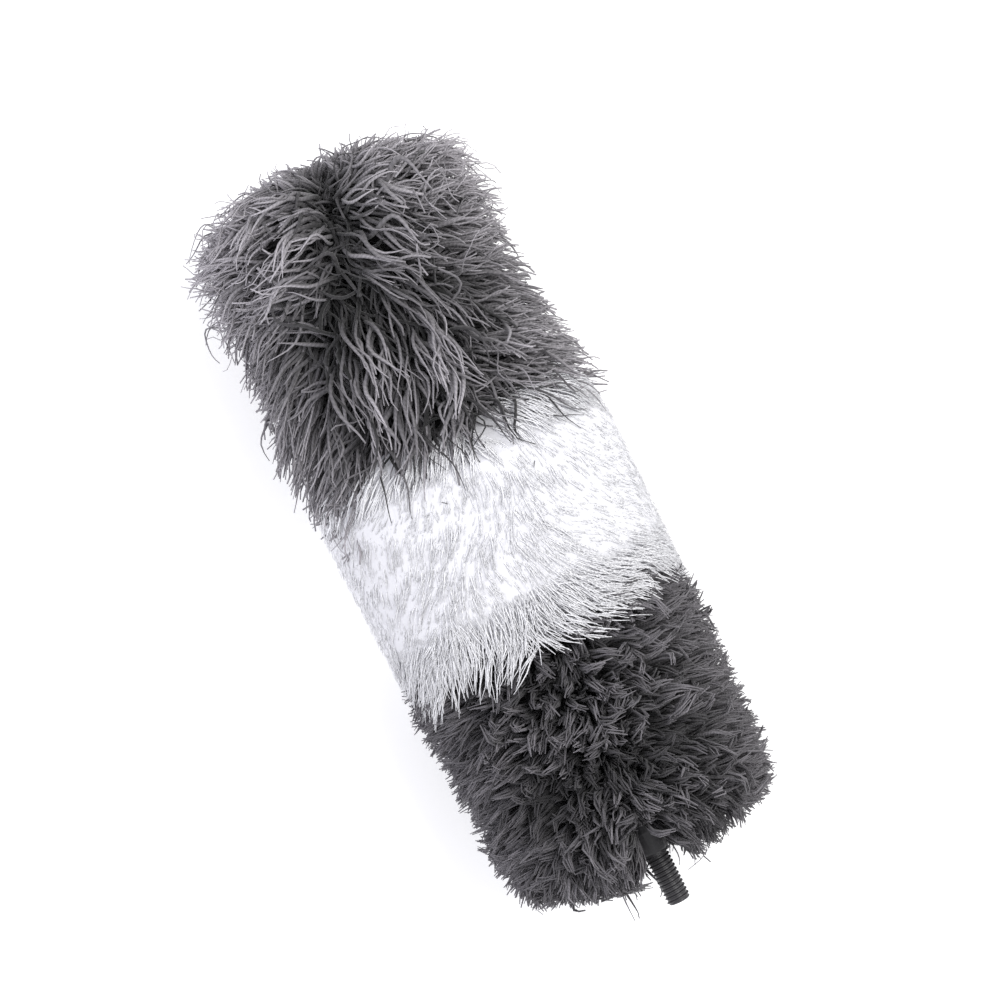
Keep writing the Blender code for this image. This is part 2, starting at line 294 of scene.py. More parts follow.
def surface_point(run, angle):
    """Run is the station, and past CROWN_START it goes on round the crown to the end of the axis."""
    turn = np.clip((run - CROWN_START) / CROWN_DEPTH, 0.0, math.pi / 2)
    radius = radius_at(np.minimum(run, CROWN_START), angle) * np.cos(turn)
    y = -radius * np.sin(angle)
    station = np.minimum(run, CROWN_START) + crown_depth(y) * np.sin(turn)
    return np.stack([x_of(station), y, AXIS_Z + radius * np.cos(angle)], axis=-1)


def surface_frame(run, angle):
    """Points of the surface, their outward normals, and the area that a step of run and angle covers."""
    here = surface_point(run, angle)
    along = (surface_point(run + 2e-4, angle) - surface_point(run - 2e-4, angle)) / 4e-4
    around = (surface_point(run, angle + 2e-3) - surface_point(run, angle - 2e-3)) / 4e-3
    normal = np.cross(around, along)
    return here, unit(normal), np.linalg.norm(normal, axis=-1)


def on_axis(station):
    return np.stack([x_of(station), np.zeros_like(station), np.full_like(station, AXIS_Z)], axis=-1)


def axis_point(points):
    """The point of the axis that each point grows from. The crown grows from one."""
    centre = np.zeros_like(points)
    centre[..., 0] = np.minimum(points[..., 0], x_of(CROWN_START))
    centre[..., 2] = AXIS_Z
    return centre


def share_of(points):
    """How far out each point is: 0 on the axis and 1 on the surface."""
    station = points[..., 0] - STUD_ROOT_X
    angle = np.arctan2(-points[..., 1], points[..., 2] - AXIS_Z)
    across = np.hypot(points[..., 1], points[..., 2] - AXIS_Z)
    across = across / radius_at(np.minimum(station, CROWN_START), angle)
    along = np.maximum(station - CROWN_START, 0.0) / crown_depth(points[..., 1])
    return np.hypot(across, along)


def keep_inside(points, limit):
    """Draws in what stands further out than limit, gently, and lifts what would sink into the floor."""
    share = np.maximum(share_of(points), 1e-6)
    wanted = share / (1.0 + (share / limit) ** 12) ** (1.0 / 12)
    centre = axis_point(points)
    points = centre + (points - centre) * (wanted / share)[..., None]
    points[..., 2] = np.maximum(points[..., 2], LOWEST)
    return points


# ---------------------------------------------------------------- which way the yarn lies, and where it dips

WHORL, PARTING_END = surface_point(*np.transpose(PARTING))


def from_parting(points):
    """To each point from the nearest one on the line that the yarn of the crown parts along."""
    line = PARTING_END - WHORL
    t = np.clip(((points - WHORL) @ line) / (line @ line), 0.0, 1.0)
    return points - WHORL - t[..., None] * line


def off_parting(points):
    return np.linalg.norm(from_parting(points), axis=-1)


def off_whorl(points):
    return np.linalg.norm(points - WHORL, axis=-1)


def lie_of_whorl(points):
    """Away from the whorl and from the parting that runs down from it."""
    pull = 0.35 + 0.30 * smooth(-0.010, 0.015, -points[:, 1:2])
    return unit(unit(points - WHORL) + pull * unit(from_parting(points)))


def lie_of_bands(points, angle):
    """Off to both sides of a line along the top, more so on its right, and back towards the stud."""
    middle = by_station(MIDDLE_LINE, points[:, 0] - STUD_ROOT_X)
    side = np.tanh((angle - middle) / 0.45) * (1.0 - smooth(1.9, 3.0, np.abs(angle)))
    sideways = 0.50 + 0.30 * smooth(-0.3, 0.3, angle - middle)
    across = np.stack([np.zeros_like(angle), -np.cos(angle), -np.sin(angle)], axis=-1)
    backward = 1.05 - 0.56 * sideways * np.abs(side)
    return unit(across * (sideways * side)[:, None] + TO_STUD * backward[:, None])


def lie_of(points, normals, angle):
    station = points[:, 0] - STUD_ROOT_X
    crownward = smooth(0.215, 0.270, station)[:, None]
    lie = lie_of_bands(points, angle) * (1.0 - crownward) + lie_of_whorl(points) * crownward
    return unit(lie - normals * dot(lie, normals))


def hollow(points):
    """How much lower the tips end: along the parting, and in the dips across the top of the dark bands."""
    lowered = PARTING_DEPTH * (1.0 - smooth(*PARTING_WIDTH, off_parting(points)))
    on_top = smooth(0.0, 0.040, points[..., 2] - AXIS_Z)
    for station, reach, depth in DIPS:
        off_dip = np.abs(points[..., 0] - x_of(station))
        lowered = lowered + on_top * depth * (1.0 - smooth(0.1 * reach, reach, off_dip))
    return lowered


# ---------------------------------------------------------------- tufts

EVEN_STEPS = (0.7548776662, 0.5698402910)  # steps that keep pairs of numbers far apart


def even_places(growth, run_low, run_high):
    """Places spread evenly over the surface from one run to another, thinner underneath."""
    rng = np.random.default_rng(growth.seed)
    count = growth.tufts * 3
    order = np.arange(count)
    run = run_low + (run_high - run_low) * evenly(order, EVEN_STEPS[0])
    angle = growth.around * (2.0 * evenly(order, EVEN_STEPS[1]) - 1.0)
    area = surface_frame(run, angle)[2] * (1.0 - 0.45 * smooth(1.7, 2.3, np.abs(angle)))
    kept = np.flatnonzero(rng.uniform(0.0, np.quantile(area, 0.9), count) < area)[: growth.tufts]
    run = run[kept] + rng.normal(0.0, 0.0012, kept.size)
    return run, angle[kept] + rng.normal(0.0, 0.02, kept.size), rng


def hides_hub(points):
    """Whether a tip there would stand between the camera's place and the hub."""
    near_end = points[:, 0] - STUD_ROOT_X < HUB_SHOWS_TO
    over_hub = (np.abs(points[:, 1] - HUB_Y) < HUB_HALF_WIDTH) & (points[:, 2] > AXIS_Z)
    return near_end & over_hub


def share_at_tip(growth, surface, run, sideness, rng):
    """How far out each tuft ends: lower in the whorl, the hollows and the tuck, further at the sides."""
    low, high = growth.depth
    share = low + (high - low) * rng.uniform(0.0, 1.0, run.size) ** 0.7
    share *= 1.0 + 0.18 * (high - low) * noise(surface, 0.040, growth.seed + 2)
    share *= 1.0 - 0.16 * (1.0 - smooth(0.010, 0.045, off_whorl(surface))) - hollow(surface)
    tuck_from, tuck_to, tucked = growth.tuck
    share *= 1.0 - tucked * smooth(tuck_from, tuck_to, run)
    return share + (high - share) * 0.65 * smooth(1.15, 1.45, sideness)


def spines(growth, run, angle, rng):
    """One curve a tuft, as the four control points of a cubic, with the share that it stays inside."""
    surface, normal, _ = surface_frame(run, angle)
    lie = lie_of(surface, normal, angle)
    across = np.cross(normal, lie)
    swing = 0.75 * noise(surface, growth.patch, growth.seed + 1) + 0.55 * rng.normal(size=run.size)
    swing = swing * growth.swing
    lie = unit(lie * np.cos(swing)[:, None] + across * np.sin(swing)[:, None])
    sideness = np.abs(np.sin(angle)) * math.pi / 2
    at_side = smooth(0.75, 1.35, sideness)
    lean = growth.lean * rng.uniform(0.75, 1.25, run.size) * (1.0 - 0.25 * at_side * (angle > 0.0))
    lean = np.minimum(lean, 0.80 * off_whorl(surface))
    source = surface - lie * lean[:, None]
    source = axis_point(source) + (source - axis_point(source)) / share_of(source)[:, None]
    source[:, 0] = np.clip(source[:, 0], x_of(ROOTS_START), x_of(CROWN_RUN))
    centre = axis_point(source)
    root = centre + (source - centre) * CORE_SHARE
    outward = unit(source - centre)
    share = share_at_tip(growth, surface, run, sideness, rng)
    tip = axis_point(surface) + (surface - axis_point(surface)) * share[:, None]
    flat = growth.flat + (growth.side_flat - growth.flat) * at_side
    heading = lie * flat[:, None] + normal * (1.0 - flat)[:, None]
    heading = unit(heading + growth.unruly * rng.normal(size=heading.shape))
    span = np.linalg.norm(tip - root, axis=-1, keepdims=True)
    controls = np.stack([root, root + outward * span * 0.45, tip - heading * span * 0.42, tip], axis=1)
    return controls, share


def skirt_spines(growth, roots, longer, rng):
    """The same for the lower end: tufts that lean out past the last roots, and leave the hub in view."""
    count = growth.tufts
    order = np.arange(count)
    angle = math.pi * (2.0 * evenly(order, EVEN_STEPS[1]) - 1.0) + rng.normal(0.0, 0.02, count)
    share = np.sqrt(0.12 + 0.88 * evenly(order, EVEN_STEPS[0]))
    station = 0.012 - 0.020 * (1.0 - share**2.5)
    station = station + rng.normal(0.0, 0.0015, count) - rng.exponential(0.0022, count)
    station = station + 0.006 * smooth(-0.6, 0.6, np.sin(angle)) - 0.002
    station = station - longer * rng.uniform(0.3, 1.0, count)
    out = radius_at(np.full(count, 0.014), angle) * share * rng.uniform(0.86, 1.0, count)
    off_hub = np.abs(out * np.sin(angle) + HUB_Y)
    over_hub = smooth(HUB_HALF_WIDTH + 0.006, HUB_HALF_WIDTH, off_hub) * (np.cos(angle) > 0.0)
    station = station + (HUB_SHOWS_TO + 0.002 - station) * over_hub
    across = np.stack([np.zeros(count), -np.sin(angle), np.cos(angle)], axis=-1)
    tip = on_axis(station) + across * out[:, None]
    root = on_axis(rng.uniform(*roots, count) + 0.020 * over_hub) + across * SLEEVE_R
    span = np.linalg.norm(tip - root, axis=-1, keepdims=True)
    back = TO_STUD * (1.0 - over_hub)[:, None]
    heading = unit(across * 0.75 + back * 0.55 + 0.22 * rng.normal(size=tip.shape))
    controls = np.stack([root, root + across * span * 0.35, tip - heading * span * 0.40, tip], axis=1)
    return controls, np.full(count, 1.0)


# ---------------------------------------------------------------- strands


def bezier(controls, t):
    """Points at t, which has one row for each curve."""
    t = t[..., None]
    a, b, c, d = (controls[:, None, i] for i in range(4))
    return a * (1 - t) ** 3 + 3 * b * t * (1 - t) ** 2 + 3 * c * t**2 * (1 - t) + d * t**3


def side_vectors(paths):
    """Two directions across each path, turning as little as they can along it."""
    tangents = unit(np.gradient(paths, axis=1))
    first = np.empty_like(paths)
    carried = np.cross(tangents[:, 0], paths[:, -1] - paths[:, 0]) + np.array([0.0, 1e-6, 2e-6])
    for ring in range(paths.shape[1]):
        carried = unit(carried - tangents[:, ring] * dot(carried, tangents[:, ring]))
        first[:, ring] = carried
    return first, np.cross(tangents, first)


def strand_paths(growth, controls, share, rng):
    """Every strand of every tuft, with its radius at each point and the tuft that it belongs to."""
    count = len(controls) * growth.strands
    owner = np.repeat(np.arange(len(controls)), growth.strands)
    ends = rng.uniform(0.86, 1.0, (count, 1))
    t = 0.10 + (1.0 - 0.10) * np.linspace(0.0, 1.0, growth.rings) ** 0.85
    t = t[None, :] * ends
    paths = bezier(controls[owner], t)
    first, second = side_vectors(paths)
    bearing = rng.uniform(0.0, TAU, (count, 1))
    distance = growth.spread * np.sqrt(rng.uniform(0.05, 1.0, (count, 1)))
    opening = smooth(0.0, 0.6, t) * (1.0 - (1.0 - growth.point) * smooth(0.70, 1.0, t))
    right = distance * np.cos(bearing) * opening
    up = growth.layer * distance * np.sin(bearing) * opening
    span = np.linalg.norm(controls[owner, 3] - controls[owner, 0], axis=-1, keepdims=True)
    turns = TAU * t * span / (growth.wave_length * rng.uniform(0.7, 1.4, (count, 1)))
    swell = growth.wave * rng.uniform(0.4, 1.4, (count, 1)) * smooth(0.15, 0.6, t)
    for pace, size in ((1.0, 1.0), (1.9, 0.25)):
        right = right + size * swell * np.sin(pace * turns + rng.uniform(0.0, TAU, (count, 1)))
        up = up + 0.7 * size * swell * np.sin(pace * 0.83 * turns + rng.uniform(0.0, TAU, (count, 1)))
    paths = paths + first * right[..., None] + second * up[..., None]
    paths = keep_inside(paths, share[owner][:, None] * 1.10)
    thinned = 1.0 - (1.0 - growth.taper) * smooth(0.70, 1.0, t / ends)
    radii = growth.radius * rng.uniform(0.75, 1.2, (count, 1)) * thinned
    return paths, radii, owner


def strand_points(growth, paths, radii, shade):
    """The rings of each strand: a flat tube that tapers and twists."""
    first, second = side_vectors(paths)
    around = TAU * np.arange(growth.sides) / growth.sides
    across = radii[..., None] * np.cos(around)
    over = growth.thick * radii[..., None] * np.sin(around)
    start = (growth.twist > 0.0) * shade[:, None] * TURN_BY_SHADE
    twist = (TAU * growth.twist * np.linspace(0.0, 1.0, paths.shape[1]) + start)[..., None]
    turned_across = across * np.cos(twist) - over * np.sin(twist)
    turned_over = across * np.sin(twist) + over * np.cos(twist)
    points = paths[:, :, None] + first[:, :, None] * turned_across[..., None]
    return points + second[:, :, None] * turned_over[..., None]


def strand_faces(count, rings, sides):
    """Vertex numbers of the quads round each strand, and of the caps at its root and tip."""
    base = (np.arange(count) * rings * sides)[:, None, None]
    ring = (np.arange(rings - 1) * sides)[None, :, None]
    side = np.arange(sides)[None, None, :]
    here, after = base + ring + side, base + ring + (side + 1) % sides
    quads = np.stack([here, after, after + sides, here + sides], axis=-1)
    root_caps = base[:, 0] + np.arange(sides)[::-1]
    tip_caps = base[:, 0] + (rings - 1) * sides + np.arange(sides)
    return quads, root_caps, tip_caps


def atlas_places(shade, rings, sides):
    """UV coordinates for the corners of those quads and caps, in the same order."""
    column = np.floor(np.clip(shade, 0.0, 0.999) * SHADES)
    step = (1.0 - 2.0 * COLUMN_MARGIN) / sides
    shape = (len(shade), rings - 1, sides)
    left = np.broadcast_to(column[:, None, None] + COLUMN_MARGIN + step * np.arange(sides), shape)
    right = left + step
    rows = np.linspace(*ENDS, rings)
    low = np.broadcast_to(rows[None, :-1, None], shape)
    high = np.broadcast_to(rows[None, 1:, None], shape)
    corners = ((left, low), (right, low), (right, high), (left, high))
    quads = np.stack([np.stack([u / SHADES, v], axis=-1) for u, v in corners], axis=-2).reshape(-1, 2)
    middle = np.repeat((column + 0.5) / SHADES, sides)
    caps = [np.stack([middle, np.full_like(middle, v)], axis=-1) for v in ENDS]
    return np.concatenate([quads, *caps])


def strand_mesh(name, bundles, material):
    """A mesh of closed strands with the atlas as its UV map. A bundle is a growth, paths, radii and shades."""
    points, loops, sizes, places = [], [], [], []
    first_vertex = 0
    for growth, paths, radii, shade in bundles:
        count, rings = paths.shape[:2]
        faces = strand_faces(count, rings, growth.sides)
        points.append(strand_points(growth, paths, radii, shade).reshape(-1, 3))
        loops += [first_vertex + part.ravel() for part in faces]
        sizes += [np.full(faces[0].size // 4, 4), np.full(2 * count, growth.sides)]
        places.append(atlas_places(shade, rings, growth.sides))
        first_vertex += len(points[-1])
    points, loops, sizes, places = (np.concatenate(parts) for parts in (points, loops, sizes, places))
    mesh = bpy.data.meshes.new(name)
    mesh.vertices.add(len(points))
    mesh.vertices.foreach_set("co", points.astype(np.float32).ravel())
    mesh.loops.add(len(loops))
    mesh.loops.foreach_set("vertex_index", loops.astype(np.int32))
    mesh.polygons.add(len(sizes))
    mesh.polygons.foreach_set("loop_start", np.concatenate([[0], np.cumsum(sizes)[:-1]]).astype(np.int32))
    mesh.update(calc_edges=True)
    atlas = mesh.uv_layers.new(name="OFBake")
    atlas.uv.foreach_set("vector", places.astype(np.float32).ravel())
    mesh.shade_smooth()
    mesh.materials.append(material)
    return put_in_scene(name, mesh)


# ---------------------------------------------------------------- pieces


def follow(obj, zone):
    """The last zone, past every hinge, rides on the tip; the others keep their place, with the transform baked
    into the mesh.
    """
    if zone == len(HINGES):
        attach(obj, LINKS[-1])
        return
    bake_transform(obj)


def grow(growth, runs, roots, edge=((0.0, -1.0),)):
    """Grows a band, no further than its edge, as a bundle of strands for each zone that it has roots in."""
    run, angle, rng = even_places(growth, *runs)
    controls, share = spines(growth, run, angle, rng)
    station = controls[:, 0, 0] - STUD_ROOT_X
    kept = (station >= roots[0]) & (station < roots[1]) & ~hides_hub(controls[:, 3])
    thinned = smooth(0.010, 0.050, off_parting(controls[:, 3]))
    kept &= rng.uniform(0.0, 1.0, len(kept)) < growth.parted + (1.0 - growth.parted) * thinned
    kept &= run > np.interp(angle, *np.transpose(edge)) + rng.normal(0.0, 0.003, len(kept))
    controls, share, station = controls[kept], share[kept], station[kept]
    paths, radii, owner = strand_paths(growth, controls, share, rng)
    # Painted shade: tips that end deeper, as along the parting and in the dips, get a darker column, standing
    # in for the shade among the strands; the rest of the column is random tone.
    painted_depth_light = smooth(*growth.depth, share) ** 1.3
    chance = 0.5 * rng.uniform(0.0, 1.0, len(share))[owner] + 0.5 * rng.uniform(0.0, 1.0, len(owner))
    # Painted light: the crown's yarn, more so on its left, gets a lighter column, as where the light falls on
    # the crown.
    painted_crown_light = smooth(0.290, 0.350, controls[:, 3, 0] - STUD_ROOT_X)
    painted_crown_light = painted_crown_light * (0.19 + 0.15 * smooth(-0.010, 0.030, controls[:, 3, 1]))
    shade = 0.62 * painted_depth_light[owner] + 0.38 * chance + painted_crown_light[owner]
    zones = np.searchsorted(BORDERS + [CROWN_ROOTS], station, side="right")[owner]
    bundles = []
    for zone in np.unique(zones):
        held = zones == zone
        bundles.append((int(zone), (growth, paths[held], radii[held], shade[held])))
    return bundles


def grow_skirt(growth, roots, longer):
    """The tufts of the lower end, as a bundle of the first zone. Some reach further, by up to longer."""
    rng = np.random.default_rng(growth.seed)
    controls, share = skirt_spines(growth, roots, longer, rng)
    paths, radii, owner = strand_paths(growth, controls, share, rng)
    shade = 0.55 * rng.uniform(0.0, 1.0, len(share))[owner] + 0.45 * rng.uniform(0.0, 1.0, len(owner))
    return [(0, (growth, paths, radii, shade))]


def make_pieces(name, grown, material):
    """One piece of yarn for each zone that the grown bundles lie in."""
    made = {}
    for zone in sorted({zone for zone, _ in grown}):
        bundles = [bundle for place, bundle in grown if place == zone]
        piece = strand_mesh(f"{name}_{zone + 1}", bundles, material)
        follow(piece, zone)
        made[zone] = piece
    return made


def bed_points(stations, depth, lumps):
    """Rows of points part of the way out, lower in the whorl and the hollows."""
    rows = max(int((stations[1] - stations[0]) / BED_ROW), 3)
    angle = TAU * np.arange(BED_COLUMNS) / BED_COLUMNS
    run, angle = np.meshgrid(np.linspace(*stations, rows), angle, indexing="ij")
    skin = surface_point(run, angle)
    centre = axis_point(skin)
    dent = 1.0 + lumps * noise(skin.reshape(-1, 3), LUMP_SIZE, SEED + 5).reshape(run.shape)
    dent = dent * (1.0 - 0.25 * (1.0 - smooth(0.008, 0.035, off_whorl(skin)))) - hollow(skin)
    return centre + (skin - centre) * (by_station(depth, run) * dent)[..., None]


def bed(name, stations, depth, lumps, zone, material, closed_low=False, closed_high=False):
    """The matted yarn underneath: a skin where the strands are too dense to see between."""
    points = bed_points(stations, depth, lumps)
    rows, columns = points.shape[:2]
    vertices = points.reshape(-1, 3).tolist()
    around = [(column, (column + 1) % columns) for column in range(columns)]
    faces = []
    for row in range(0, (rows - 1) * columns, columns):
        for here, after in around:
            faces.append((row + columns + here, row + columns + after, row + after, row + here))
    for closed, row in ((closed_low, 0), (closed_high, rows - 1)):
        if closed:
            middle = len(vertices)
            vertices.append(points[row].mean(axis=0).tolist())
            for here, after in around:
                face = (row * columns + here, row * columns + after, middle)
                faces.append(face if row == 0 else face[::-1])
    mesh = bpy.data.meshes.new(name)
    mesh.from_pydata(vertices, [], faces)
    mesh.shade_smooth()
    mesh.materials.append(material)
    piece = put_in_scene(name, mesh)
    follow(piece, zone)


# ---------------------------------------------------------------- materials


def node_material(name):
    material = bpy.data.materials.new(name)
    material.use_nodes = True
    nodes = material.node_tree.nodes
    return material, nodes, material.node_tree.links, nodes["Principled BSDF"]


def maths(nodes, links, operation, first, second=None):
    """A Math node of two values, each a socket or a number."""
    node = nodes.new("ShaderNodeMath")
    node.operation = operation
    for socket, value in zip(node.inputs, (first, second)):
        if value is None:
            continue
        if isinstance(value, (int, float)):
            socket.default_value = value
        else:
            links.new(value, socket)
    return node.outputs[0]


def stretched(nodes, links, vector, stretch):
    node = nodes.new("ShaderNodeVectorMath")
    node.operation = "MULTIPLY"
    node.inputs[1].default_value = stretch
    links.new(vector, node.inputs[0])
    return node.outputs[0]


def colour_ramp(nodes, links, factor, stops):
    node = nodes.new("ShaderNodeValToRGB")
    ramp = node.color_ramp
    while len(ramp.elements) < len(stops):
        ramp.elements.new(0.5)
    for element, (place, colour) in zip(ramp.elements, stops):
        element.position = place
        element.color = (*colour, 1.0)
    links.new(factor, node.inputs["Fac"])
    return node.outputs["Color"]


def noise_texture(nodes, links, vector, scale, detail=3.0):
    node = nodes.new("ShaderNodeTexNoise")
    node.inputs["Scale"].default_value = scale
    node.inputs["Detail"].default_value = detail
    links.new(vector, node.inputs["Vector"])
    return node.outputs["Fac"]


def add_bump(nodes, links, shader, height, strength, distance):
    node = nodes.new("ShaderNodeBump")
    node.inputs["Strength"].default_value = strength
    node.inputs["Distance"].default_value = distance
    links.new(height, node.inputs["Height"])
    links.new(node.outputs["Normal"], shader.inputs["Normal"])


def yarn_material(name, shades, painted_root_shade, relief, sheen, lit_from=0.25, lit_to=0.85):
    """Plied yarn, read from the atlas: the shade by column, slanting plies with the shadow between them, and
    painted shade towards the root.
    """
    material, nodes, links, shader = node_material(name)
    atlas = nodes.new("ShaderNodeUVMap")
    atlas.uv_map = "OFBake"
    parts = nodes.new("ShaderNodeSeparateXYZ")
    links.new(atlas.outputs["UV"], parts.inputs["Vector"])
    across, along = parts.outputs["X"], parts.outputs["Y"]
    columns = maths(nodes, links, "MULTIPLY", across, float(SHADES))
    shade = maths(nodes, links, "DIVIDE", maths(nodes, links, "FLOOR", columns), SHADES - 1.0)
    turned = maths(nodes, links, "ADD", columns, maths(nodes, links, "MULTIPLY", along, PLY_TURNS))
    ply = maths(nodes, links, "SINE", maths(nodes, links, "MULTIPLY", turned, TAU))
    ply = maths(nodes, links, "MULTIPLY", maths(nodes, links, "ADD", ply, 1.0), 0.5)
    fine = stretched(nodes, links, atlas.outputs["UV"], (SHADES * 6.0, 18.0, 1.0))
    fibres = noise_texture(nodes, links, fine, 1.0, 4.0)
    shadow = maths(nodes, links, "ADD", maths(nodes, links, "MULTIPLY", ply, relief), 1.0 - relief)
    mottle = maths(nodes, links, "ADD", maths(nodes, links, "MULTIPLY", fibres, relief), 1.0 - relief / 2)
    # Painted shade: the yarn is darker towards its root, standing in for the shade deep among the strands.
    root_shade_ramp = nodes.new("ShaderNodeMapRange")
    root_shade_ramp.inputs["From Min"].default_value = lit_from
    root_shade_ramp.inputs["From Max"].default_value = lit_to
    root_shade_ramp.inputs["To Min"].default_value = painted_root_shade
    links.new(along, root_shade_ramp.inputs["Value"])
    value = maths(nodes, links, "MULTIPLY", shadow, mottle)
    value = maths(nodes, links, "MULTIPLY", value, root_shade_ramp.outputs["Result"])
    tinted = nodes.new("ShaderNodeVectorMath")
    tinted.operation = "SCALE"
    links.new(colour_ramp(nodes, links, shade, tuple(zip((0.0, 0.5, 1.0), shades))), tinted.inputs[0])
    links.new(value, tinted.inputs["Scale"])
    links.new(tinted.outputs["Vector"], shader.inputs["Base Color"])
    rough = maths(nodes, links, "ADD", maths(nodes, links, "MULTIPLY", fibres, 0.25), 0.62)
    links.new(rough, shader.inputs["Roughness"])
    shader.inputs["Specular IOR Level"].default_value = 0.25
    shader.inputs["Sheen Weight"].default_value = sheen
    shader.inputs["Sheen Roughness"].default_value = 0.6
    height = maths(nodes, links, "ADD", ply, maths(nodes, links, "MULTIPLY", fibres, 0.6))
    add_bump(nodes, links, shader, height, 0.5, 0.0003)
    return material


def matter(name, dark, light, roughness, grain, metallic=0.0, bump=0.2, depth=0.0002, stretch=(1, 1, 1)):
    """Solid matter with a fine grain of the given size in its colour, gloss and relief."""
    material, nodes, links, shader = node_material(name)
    place = nodes.new("ShaderNodeTexCoord")
    scaled = stretched(nodes, links, place.outputs["Object"], stretch)
    fine = noise_texture(nodes, links, scaled, 1.0 / grain, 5.0)
    broad = noise_texture(nodes, links, scaled, 0.12 / grain, 2.0)
    mixed = maths(nodes, links, "MULTIPLY", maths(nodes, links, "ADD", fine, broad), 0.5)
    links.new(colour_ramp(nodes, links, mixed, ((0.3, dark), (0.7, light))), shader.inputs["Base Color"])
    gloss = maths(nodes, links, "ADD", maths(nodes, links, "MULTIPLY", mixed, 0.25), roughness - 0.12)
    links.new(gloss, shader.inputs["Roughness"])
    shader.inputs["Metallic"].default_value = metallic
    add_bump(nodes, links, shader, fine, bump, depth)
    return material


def knit_material(name, dark, light):
    """Knitted tape wound on the core: rows of small stitches in the object's own axes."""
    material, nodes, links, shader = node_material(name)
    place = nodes.new("ShaderNodeTexCoord")
    waves = []
    for direction, pitch in (("X", 0.0016), ("DIAGONAL", 0.0022)):
        wave = nodes.new("ShaderNodeTexWave")
        wave.bands_direction = direction
        wave.inputs["Scale"].default_value = 0.314 / pitch
        wave.inputs["Distortion"].default_value = 1.2
        wave.inputs["Detail Scale"].default_value = 2.0
        links.new(place.outputs["Object"], wave.inputs["Vector"])
        waves.append(wave.outputs["Fac"])
    stitch = maths(nodes, links, "MULTIPLY", maths(nodes, links, "ADD", *waves), 0.5)
    links.new(colour_ramp(nodes, links, stitch, ((0.1, dark), (0.9, light))), shader.inputs["Base Color"])
    fuzz = noise_texture(nodes, links, place.outputs["Object"], 2500.0, 3.0)
    rough = maths(nodes, links, "ADD", maths(nodes, links, "MULTIPLY", fuzz, 0.2), 0.75)
    links.new(rough, shader.inputs["Roughness"])
    shader.inputs["Sheen Weight"].default_value = 0.2
    add_bump(nodes, links, shader, stitch, 0.6, 0.0004)
    return material


def dress_core():
    """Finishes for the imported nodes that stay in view, by the name of their material slot."""
    finishes = {
        "connector_plastic": matter(
            "moulded_plastic", (0.020, 0.019, 0.021), (0.034, 0.033, 0.036), 0.38, 0.0009,
            bump=0.12, depth=0.0001,
        ),
        "ferrule_steel": matter("rolled_steel", (0.45, 0.45, 0.46), (0.60, 0.60, 0.61), 0.30, 0.0006, 1.0),
        "core_wire": matter(
            "drawn_wire", (0.50, 0.50, 0.50), (0.66, 0.66, 0.65), 0.34, 0.0004, 1.0, stretch=(0.1, 1, 1)
        ),
        "core_tube": matter("tube_plastic", (0.035, 0.035, 0.037), (0.055, 0.055, 0.058), 0.50, 0.0011),
        "cap_rubber": matter(
            "cap_rubber", (0.020, 0.020, 0.021), (0.034, 0.034, 0.035), 0.70, 0.0007, bump=0.3
        ),
        "hem_fabric": knit_material("hem_knit", (0.030, 0.029, 0.031), (0.075, 0.072, 0.077)),
        "elastic": matter(
            "elastic_cord", (0.10, 0.10, 0.10), (0.18, 0.18, 0.18), 0.80, 0.0006, stretch=(1, 4, 4)
        ),
        "seam_thread": matter("seam_thread", (0.20, 0.20, 0.21), (0.32, 0.32, 0.33), 0.80, 0.0004),
        "dark_grey_knit": knit_material("dark_grey_knit", (0.030, 0.029, 0.031), (0.080, 0.077, 0.082)),
        "white_knit": knit_material("white_knit", (0.62, 0.62, 0.64), (0.84, 0.84, 0.86)),
        "grey_knit": knit_material("grey_knit", (0.050, 0.048, 0.051), (0.120, 0.115, 0.122)),
    }
    for obj in frame["nodes"].values():
        for held in obj.material_slots:
            packed_name = held.material.name if held.material else ""
            found = [finish for key, finish in finishes.items() if packed_name.startswith(key)]
            if found:
                held.material = found[0]


# ---------------------------------------------------------------- floor, lights and camera


def vector_to(azimuth, elevation):
    """Towards a lamp, by where it stands in the camera's view: azimuth from image right, anticlockwise."""
    right = np.array([-math.sin(VIEW_LEAN), -math.cos(VIEW_LEAN), 0.0])
    up = np.array([math.cos(VIEW_LEAN), -math.sin(VIEW_LEAN), 0.0])
    flat = right * math.cos(azimuth) + up * math.sin(azimuth)
    return flat * math.cos(elevation) + np.array([0.0, 0.0, 1.0]) * math.sin(elevation)


def add_lamp(name, azimuth_deg, elevation_deg, size, power, colour):
    data = bpy.data.lights.new(name, "AREA")
    data.shape = "SQUARE"
    data.size = size
    data.energy = power
    data.color = colour
    lamp = put_in_scene(name, data)
    towards = vector_to(math.radians(azimuth_deg), math.radians(elevation_deg))
    lamp.location = towards * LAMP_DISTANCE + np.array([0.0, 0.0, AXIS_Z])
    lamp.rotation_mode = "QUATERNION"
    lamp.rotation_quaternion = Vector(towards.tolist()).to_track_quat("Z", "Y")


